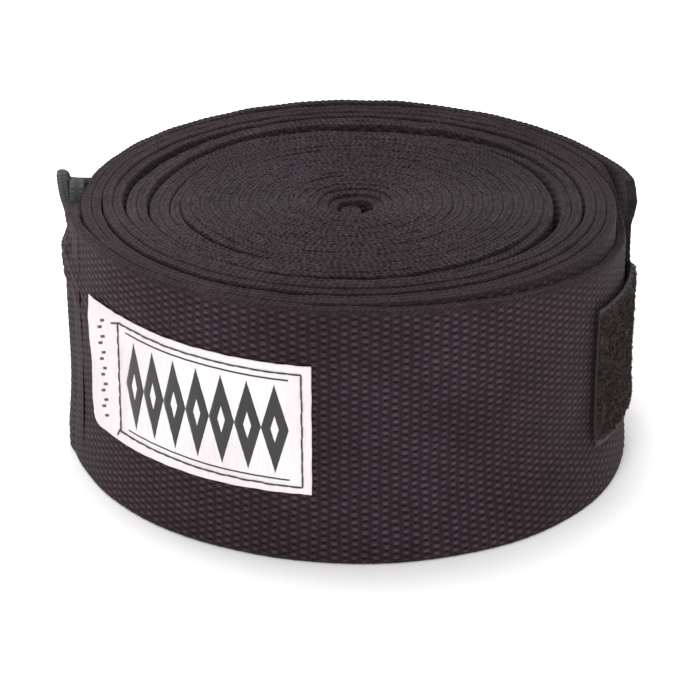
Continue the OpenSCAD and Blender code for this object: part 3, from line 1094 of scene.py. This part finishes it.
def tab_point(way, across, lift, over_cloth):
    """A point of the tab: across runs up the tape's width. over_cloth: it laps over the band's end."""
    z = TAPE_LOW[2] + tape_rise(way) + across
    r = band_face("B", way - 360, z) + lift
    r = r + 0.15 * smooth(way, TAB_END_WAY - 7, TAB_END_WAY) + 0.10 * wobble(way / 21 + across / 18, 11)
    if over_cloth:
        r = r + 0.05 * (1 - smooth(way, CLOSURE_END_WAY - 1.5, CLOSURE_END_WAY + 4.5))
    return polar(r, angle_of(way), z)


def tape_sheet(name, ways, edges, lifts, material, over_cloth, fuzz=0.0, step=0.5, ragged=0.0):
    """A layer of the tab between two ways, two distances up the tape's width and two lifts."""
    (way0, way1), (low, high), (lift0, lift1) = ways, edges, lifts
    columns = int((way1 - way0) * WAY_MM / step)
    rows = int((high - low) / step)
    way = np.linspace(way0, way1, columns)[None, :] + np.zeros((rows, 1))
    across = np.linspace(low, high, rows)[:, None] + np.zeros((1, columns))
    bumps = np.random.default_rng(5).normal(0, 1, (rows, columns))
    bumps = bumps + sum(np.roll(bumps, by, axis) for by in (1, -1) for axis in (0, 1))
    ends_mm = np.minimum(way - way0, way1 - way) * WAY_MM
    edge_mm = np.minimum(np.minimum(across - low, high - across), ends_mm)
    soft = 0.45 + 2.0 * fuzz
    round_off = np.sqrt(1 - np.clip(1 - edge_mm / soft, 0, 1) ** 2)
    side = np.where(np.abs(across - (low + high) / 2) > (high - low) / 2 - 0.01, 1, 0)
    across = across + ragged * wobble(way / 1.1, 4) * side
    middle, half = (lift0 + lift1) / 2, (lift1 - lift0) / 2
    outer = tab_point(way, across, middle + half * round_off + fuzz * bumps * round_off, over_cloth)
    inner = tab_point(way, across, middle - half * (round_off if fuzz == 0 else 1), over_cloth)
    return thin_sheet(name, outer, inner, np.stack([way * WAY_MM, across], -1), material)


def curled(way, across, lift0, path, over_cloth):
    """Small threads standing on the tab. path is a list of (along mm, across mm, lift mm)."""
    path = np.array(path, float)
    turn = np.random.default_rng(11).uniform(-0.5, 0.5, len(way))[:, None]
    along = path[None, :, 0] * np.cos(turn) - path[None, :, 1] * np.sin(turn)
    side = path[None, :, 0] * np.sin(turn) + path[None, :, 1] * np.cos(turn)
    way, across = way[:, None] + along / WAY_MM, across[:, None] + side
    return tab_point(way, across, lift0 + path[None, :, 2], over_cloth)


def make_hook_tape():
    way0, way1 = CLOSURE_END_WAY - 6, TAB_END_WAY - 0.2
    lifts = (HOOK_LIFT, HOOK_LIFT + HOOK_GROUND_T)
    piece = tape_sheet("hook_tape_ground", (way0, way1), (0.2, TAPE_W - 0.2), lifts, SELVEDGE, False)
    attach(piece, "closure_end")
    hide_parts("closure_hook_tape")
    columns, rows = np.arange(way0 + 1, way1 - 0.6, 1.75), np.arange(1.8, TAPE_W - 1.6, 1.3)
    way, across = np.meshgrid(columns, rows, indexing="ij")
    across = across + 0.35 * (np.arange(len(way))[:, None] % 2)
    hook = [(0, 0, 0.1), (0, 0, -0.15), (0.04, 0, -0.32), (0.2, 0, -0.48), (0.42, 0, -0.46), (0.5, 0, -0.3)]
    lines = curled(way.ravel(), across.ravel(), HOOK_LIFT, hook, False)
    hooks = threads("hook_tape_hooks", lines, 0.1, HOOK, 5, 0.5)
    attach(hooks, "closure_end")


def make_loop_tape():
    way0, way1 = CLOSURE_END_WAY - 2.6, TAB_END_WAY
    lifts = (LOOP_LIFT, LOOP_LIFT + LOOP_GROUND_T)
    piece = tape_sheet("loop_tape_ground", (way0, way1), (0, TAPE_W), lifts, SELVEDGE, True, ragged=0.12)
    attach(piece, "closure_end")
    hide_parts("closure_loop_tape")
    low, high = SELVEDGE_LOW, TAPE_W - SELVEDGE_HIGH
    base = LOOP_LIFT + LOOP_GROUND_T - 0.05
    ways = (way0 + 0.3, way1 - 0.15)
    pad = tape_sheet("loop_tape_pile", ways, (low, high), (base, base + PILE_T), PILE, True, 0.07, 0.3)
    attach(pad, "closure_end")
    draw = np.random.default_rng(3)
    count = 3600
    way = draw.uniform(way0 + 0.6, way1 - 0.3, count)
    across = draw.uniform(low + 0.2, high - 0.2, count)
    bow = [(-0.34, 0, -0.2), (-0.33, 0.05, 0.08), (0, 0.12, 0.22), (0.31, 0.05, 0.1), (0.36, 0, -0.2)]
    lines = curled(way, across, base + PILE_T - 0.02, bow, True)
    lean = draw.normal(0, 0.16, (count, 1, 3)) * np.array([0, 1, 1, 1, 0])[None, :, None]
    fibres = threads("loop_tape_fibres", lines + lean, 0.055, PILE, 5, 0.6)
    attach(fibres, "closure_end")


def make_closure_stitches():
    """A row of stitches along each edge of the tab, and one across it at the band's end."""
    way0, way1 = CLOSURE_END_WAY - 0.6, TAB_END_WAY - 2.2
    low, high = 0.8, TAPE_W - 0.5
    crossing = way0 + 1.6
    ground = LOOP_LIFT + LOOP_GROUND_T
    for name, rows, lift0 in (
        ("closure_seam_long", [((way0, z), (way1, z)) for z in (low, high)], ground),
        ("closure_seam_cross", [((crossing, low), (crossing, high))], ground + PILE_T * 0.8),
    ):
        starts, stops = joined([stitch_row(start, stop, 2.4, 2.1, 0.06) for start, stop in rows])
        lines = arches(starts, stops, 0.2, lambda way, z, lift: tab_point(way, z, lift0 + lift, True))
        piece = threads(name, lines, 0.15, SEAM_THREAD, 8)
        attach(piece, "closure_end")
    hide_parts("closure_stitches")


# The studio --------------------------------------------------------------------------------------


def make_floor():
    """A wide pale floor, finer near the object."""
    side, cells, near = 3000.0, 24, 400.0
    line = np.concatenate([[-side, -near * 2], np.linspace(-near, near, cells), [near * 2, side]])
    x, y = np.meshgrid(line, line, indexing="ij")
    z = np.full_like(x, -0.02) - 0.004 * np.cos(x / 90) * np.cos(y / 70)
    n = len(line)
    i, j = np.meshgrid(np.arange(n - 1), np.arange(n - 1), indexing="ij")
    a = (i * n + j).ravel()
    faces = np.stack([a, a + n, a + n + 1, a + 1], -1).tolist()
    points = np.stack([x, y, z], -1).reshape(-1, 3)
    floor = make_mesh("studio_floor", points, faces, paper_look(), points[:, :2])


def aim(thing, place, target):
    """Put a light or a camera at a place and point it at a target."""
    thing.location = Vector(place) * MM
    thing.rotation_euler = (Vector(target) - Vector(place)).to_track_quat("-Z", "Y").to_euler()


def make_light(name, place, target, size, watts, tint):
    data = bpy.data.lights.new(name, "AREA")
    data.shape = "DISK"
    data.size = size * MM
    data.energy = watts
    data.color = tint
    light = bpy.data.objects.new(name, data)
    bpy.context.scene.collection.objects.link(light)
    aim(light, place, target)


def make_studio():
    """Soft daylight from above and from the front, in a pale room."""
    make_floor()
    make_light("overhead_softbox", (-60, 260, 900), (0, 20, 20), 620, 7.0, (1, 0.985, 0.975))
    make_light("front_fill", (-260, -900, 420), (0, 0, 20), 500, 5.0, (1, 0.99, 0.985))
    world = bpy.data.worlds.new("studio_world")
    world.use_nodes = True
    world.node_tree.nodes["Background"].inputs["Color"].default_value = (1, 0.995, 0.997, 1)
    world.node_tree.nodes["Background"].inputs["Strength"].default_value = 0.85
    bpy.context.scene.world = world
    bpy.context.scene.view_settings.view_transform = "Standard"


def make_camera():
    """The camera that was fitted to the photo's rims."""
    target = np.array([-0.14, 0.0, 17.0])
    distance, raised = 480.0, math.radians(24.75)
    data = bpy.data.cameras.new("camera")
    data.lens = 125
    data.sensor_width = 36
    data.clip_start = 0.02
    data.clip_end = 50
    camera = bpy.data.objects.new("camera", data)
    bpy.context.scene.collection.objects.link(camera)
    aim(camera, target + distance * np.array([0, -math.cos(raised), math.sin(raised)]), target)
    bpy.context.scene.camera = camera


make_inner_band()
make_bridges()
make_outer_band()
make_turns()
make_ends()
make_label()
make_motif()
make_label_stitches()
make_hem_stitches()
make_thumb_loop()
make_hook_tape()
make_loop_tape()
make_closure_stitches()
make_studio()
make_camera()
